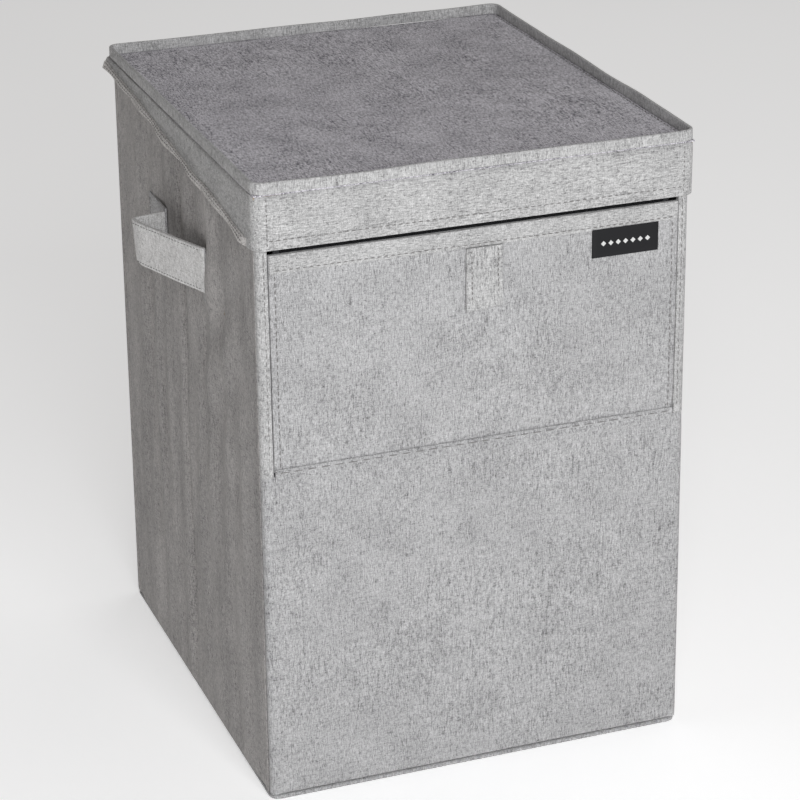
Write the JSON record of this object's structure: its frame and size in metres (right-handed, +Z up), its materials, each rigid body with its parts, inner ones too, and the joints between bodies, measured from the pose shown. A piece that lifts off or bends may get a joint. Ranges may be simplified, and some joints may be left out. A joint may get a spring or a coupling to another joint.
{
  "type": "laundry hamper with lid",
  "caption": "Folding cloth-covered laundry hamper with stiff walls, a cloth-hinged lid with a hanging rim, a drop-down front flap and a strap handle on each side",
  "frame": {"origin": "centre of the underside", "axes": "+X is the hamper's right, +Y its back, +Z up; the front with its flap faces -Y"},
  "size_m": [0.3592, 0.3532, 0.45],
  "materials": {
    "cover_cloth": "plain-woven linen-look cloth, light warm grey with dark slubs",
    "edge_binding": "the same cloth, folded and top-stitched",
    "strap": "the same cloth, doubled and stitched along both edges",
    "lining": "charcoal non-woven lining",
    "board": "grey-brown stiffening board, hidden inside the cloth",
    "closure_tape": "black hook-and-loop tape",
    "label": "black woven label with a plain light bar motif"
  },
  "bodies": {
    "root": {"base_board": "board", "base_cloth": "cover_cloth", "base_lining": "lining", "lid_hinge_cloth": "cover_cloth", "rear_board": "board", "rear_cloth": "cover_cloth", "rear_lining": "lining"},
    "left_rear_side": {"left_handle_rear": "strap", "left_handle_rear_patch": "strap", "left_rear_side_board": "board", "left_rear_side_cloth": "cover_cloth", "left_rear_side_lining": "lining"},
    "left_front_side": {"left_front_side_board": "board", "left_front_side_cloth": "cover_cloth", "left_front_side_lining": "lining", "left_handle_front": "strap", "left_handle_front_patch": "strap"},
    "right_rear_side": {"right_handle_rear": "strap", "right_handle_rear_patch": "strap", "right_rear_side_board": "board", "right_rear_side_cloth": "cover_cloth", "right_rear_side_lining": "lining"},
    "right_front_side": {"right_front_side_board": "board", "right_front_side_cloth": "cover_cloth", "right_front_side_lining": "lining", "right_handle_front": "strap", "right_handle_front_patch": "strap"},
    "front_wall": {"closure_facing": "lining", "closure_loop_tape": "closure_tape", "front_lower_board": "board", "front_lower_cloth": "cover_cloth", "front_lower_lining": "lining", "front_top_rail": "cover_cloth", "left_stile": "edge_binding", "right_stile": "edge_binding"},
    "front_flap": {"closure_hook_tape": "closure_tape", "flap_board": "board", "flap_cloth": "cover_cloth", "flap_hem": "edge_binding", "flap_lining": "lining", "woven_label": "label"},
    "pull_tab": {"pull_tab": "strap"},
    "lid": {"lid_board": "board", "lid_front_seam": "edge_binding", "lid_front_skirt_board": "board", "lid_front_skirt_cloth": "cover_cloth", "lid_front_skirt_lining": "lining", "lid_left_seam": "edge_binding", "lid_left_skirt": "cover_cloth", "lid_lining": "lining", "lid_rear_binding": "edge_binding", "lid_rear_seam": "edge_binding", "lid_right_seam": "edge_binding", "lid_right_skirt": "cover_cloth", "lid_top_cloth": "cover_cloth"}
  },
  "joints": [
    {"name": "lid_hinge", "type": "hinge", "parent": "root", "child": "lid", "pos_m": [0, 0.1766, 0.4413], "axis": [-1, 0, 0], "range_deg": [0, 195]},
    {"name": "side_fold", "type": "hinge", "parent": "root", "child": "left_rear_side", "pos_m": [-0.148, 0.1671, 0.2], "axis": [0, 0, 1], "range_deg": [0, 60], "deforming": ["left_handle_rear", "left_handle_front", "right_handle_rear", "right_handle_front"]},
    {"name": "left_crease", "type": "hinge", "parent": "left_rear_side", "child": "left_front_side", "pos_m": [-0.153, 0, 0.2], "axis": [0, 0, 1], "range_deg": [-120, 0]},
    {"name": "left_front_fold", "type": "hinge", "parent": "left_front_side", "child": "front_wall", "pos_m": [-0.148, -0.1671, 0.2], "axis": [0, 0, 1], "range_deg": [0, 60]},
    {"name": "right_rear_fold", "type": "hinge", "parent": "root", "child": "right_rear_side", "pos_m": [0.148, 0.1671, 0.2], "axis": [0, 0, 1], "range_deg": [-60, 0]},
    {"name": "right_crease", "type": "hinge", "parent": "right_rear_side", "child": "right_front_side", "pos_m": [0.153, 0, 0.2], "axis": [0, 0, 1], "range_deg": [0, 120]},
    {"name": "flap_hinge", "type": "hinge", "parent": "front_wall", "child": "front_flap", "pos_m": [0, -0.1727, 0.245], "axis": [1, 0, 0], "range_deg": [0, 160]},
    {"name": "pull_tab_lift", "type": "hinge", "parent": "front_flap", "child": "pull_tab", "pos_m": [0.004, -0.1747, 0.387], "axis": [-1, 0, 0], "range_deg": [0, 120]}
  ],
  "couplings": [
    {"joint": "left_crease", "follows": "side_fold", "ratio": -2},
    {"joint": "left_front_fold", "follows": "side_fold", "ratio": 1},
    {"joint": "right_rear_fold", "follows": "side_fold", "ratio": -1},
    {"joint": "right_crease", "follows": "side_fold", "ratio": 2}
  ]
}
